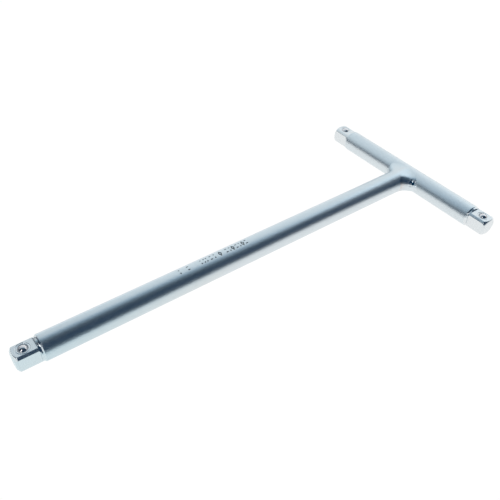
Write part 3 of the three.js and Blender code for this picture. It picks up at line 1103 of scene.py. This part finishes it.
def stage_plane(name, corners, material, camera=True):
    mesh = bpy.data.meshes.new(name)
    mesh.from_pydata(corners, [], [tuple(range(len(corners)))])
    obj = bpy.data.objects.new(name, mesh)
    bpy.context.collection.objects.link(obj)
    mesh.materials.append(material)
    obj.visible_camera = camera


def ring_points(radius, height):
    turns = [FULL_TURN * side / ROUND_SIDES for side in range(ROUND_SIDES)]
    return [(radius * math.cos(turn), radius * math.sin(turn), height) for turn in turns]


def add_backdrop(material):
    """A white dome that only the camera sees."""
    points = []
    for tilt in np.linspace(0, math.pi / 2, DOME_ROWS):
        radius = FLOOR_RADIUS * math.cos(tilt) + DOME_TIP_RADIUS
        points += ring_points(radius, FLOOR_RADIUS * math.sin(tilt) + FLOOR_HEIGHT)
    mesh = bpy.data.meshes.new("backdrop")
    mesh.from_pydata(points, [], grid_faces(DOME_ROWS, ROUND_SIDES))
    backdrop = bpy.data.objects.new("backdrop", mesh)
    bpy.context.collection.objects.link(backdrop)
    mesh.materials.append(material)
    backdrop.visible_glossy = False
    backdrop.visible_diffuse = False
    backdrop.visible_shadow = False
    backdrop.visible_transmission = False


def level_rectangle(first, second, first_reach, second_reach, height):
    """The corners of a level plane, from its reach along two level directions."""
    corners = []
    for a, b in ((0, 0), (0, 1), (1, 1), (1, 0)):
        corner = first * first_reach[a] + second * second_reach[b] + Vector((0, 0, height))
        corners.append(tuple(corner))
    return corners


def add_flag():
    """A plane in front of the object that is pale near it and dark farther off."""
    behind, side = flat_directions(FLAG_TURN)
    front = -behind
    material, tree, glow = glow_material("front_dark")
    away = dot_with(tree, object_coordinates(tree), front)
    cooling = map_range(tree, away, FLAG_NEAR, FLAG_EDGE[0], 0.0, 1.0)
    darkening = map_range(tree, away, *FLAG_EDGE, 0.0, 1.0, smooth=True)
    pale = mix_colour(tree, cooling, *FLAG_PALE)
    tree.links.new(mix_colour(tree, darkening, pale, FLAG_DARK), glow.inputs["Color"])
    reach = (FLAG_NEAR, FLAG_FAR)
    corners = level_rectangle(front, side, reach, (FLAG_LEFT, FLAG_RIGHT), FLAG_HEIGHT)
    stage_plane("front_flag", corners, material, camera=False)


def add_panel():
    """A broad panel over the object that fades out, and turns bluer, towards its near edge."""
    away, right = flat_directions(PANEL_TURN)
    material, tree, glow = glow_material("panel_glow")
    place = object_coordinates(tree)
    u = dot_with(tree, place, away)
    v = dot_with(tree, place, right)
    near_fade = map_range(tree, u, *PANEL_NEAR_FADE, smooth=True)
    far_fade = map_range(tree, u, *PANEL_FAR_FADE)
    side_fade = map_range(tree, v, *PANEL_SIDE_FADE)
    fade = calculate(tree, "ADD", near_fade, far_fade)
    tree.links.new(calculate(tree, "MULTIPLY", fade, side_fade), glow.inputs["Strength"])
    from_edge = map_range(tree, u, *PANEL_EDGE, 0.0, 1.0, smooth=True)
    colour = mix_colour(tree, from_edge, PANEL_EDGE_COLOUR, PANEL_COLOUR)
    tree.links.new(colour, glow.inputs["Color"])
    corners = level_rectangle(away, right, PANEL_U, PANEL_V, PANEL_HEIGHT)
    stage_plane("overhead_panel", corners, material, camera=False)


def add_cards():
    """Upright white cards on the left, which the tips reflect."""
    material, _, _ = glow_material("left_card_white", CARD_COLOUR, CARD_GLOW)
    for name, near, far, top in CARDS:
        low = [(CARD_X, near, CARD_BOTTOM), (CARD_X, far, CARD_BOTTOM)]
        high = [(CARD_X, far, top), (CARD_X, near, top)]
        stage_plane(name, low + high, material, camera=False)


def add_lamp():
    """A tall narrow softbox on the camera's left: it makes the sparks on the balls and collars."""
    lamp_data = bpy.data.lights.new("strip_lamp", "AREA")
    lamp_data.shape = "RECTANGLE"
    lamp_data.size = LAMP_WIDTH
    lamp_data.size_y = LAMP_LENGTH
    lamp_data.energy = LAMP_RADIANCE * math.pi * LAMP_WIDTH * LAMP_LENGTH
    lamp = bpy.data.objects.new("strip_lamp", lamp_data)
    bpy.context.collection.objects.link(lamp)
    aim = facing(LAMP_PLACE, Vector((0, 0, 0)))
    lamp.matrix_world = Matrix.Translation(LAMP_PLACE) @ aim.to_matrix().to_4x4()
    lamp.visible_camera = False


def studio_world():
    """A dim room, bright behind the object and on its +X side. The camera sees the backdrop."""
    world = bpy.data.worlds.new("studio")
    bpy.context.scene.world = world
    world.use_nodes = True
    tree = world.node_tree
    background = tree.nodes["Background"]
    direction = tree.nodes.new("ShaderNodeTexCoord").outputs["Generated"]
    level, _ = flat_directions(WALL_AZIMUTH)
    wall_direction = level * math.cos(WALL_RISE) + Vector((0, 0, math.sin(WALL_RISE)))
    wall_dot = dot_with(tree, direction, wall_direction)
    wall_share = map_range(tree, wall_dot, *WALL_COSINES, 0.0, 1.0, smooth=True)
    from_edge = map_range(tree, wall_dot, *WALL_EDGE_COSINES, 0.0, 1.0, smooth=True)
    wall = mix_colour(tree, from_edge, WALL_EDGE_COLOUR, WALL_COLOUR)
    colour = mix_colour(tree, wall_share, ROOM_COLOUR, wall)
    side_dot = dot_with(tree, direction, SIDE_DIRECTION)
    side_share = map_range(tree, side_dot, *SIDE_COSINES, 0.0, 1.0, smooth=True)
    colour = mix_colour(tree, side_share, colour, SIDE_COLOUR)
    tree.links.new(colour, background.inputs["Color"])


white, _, _ = glow_material("floor_white", strength=FLOOR_GLOW)
stage_plane("floor", ring_points(FLOOR_RADIUS, FLOOR_HEIGHT), white)
add_backdrop(white)
add_flag()
add_panel()
add_cards()
add_lamp()
studio_world()
bpy.context.scene.view_settings.view_transform = "Standard"
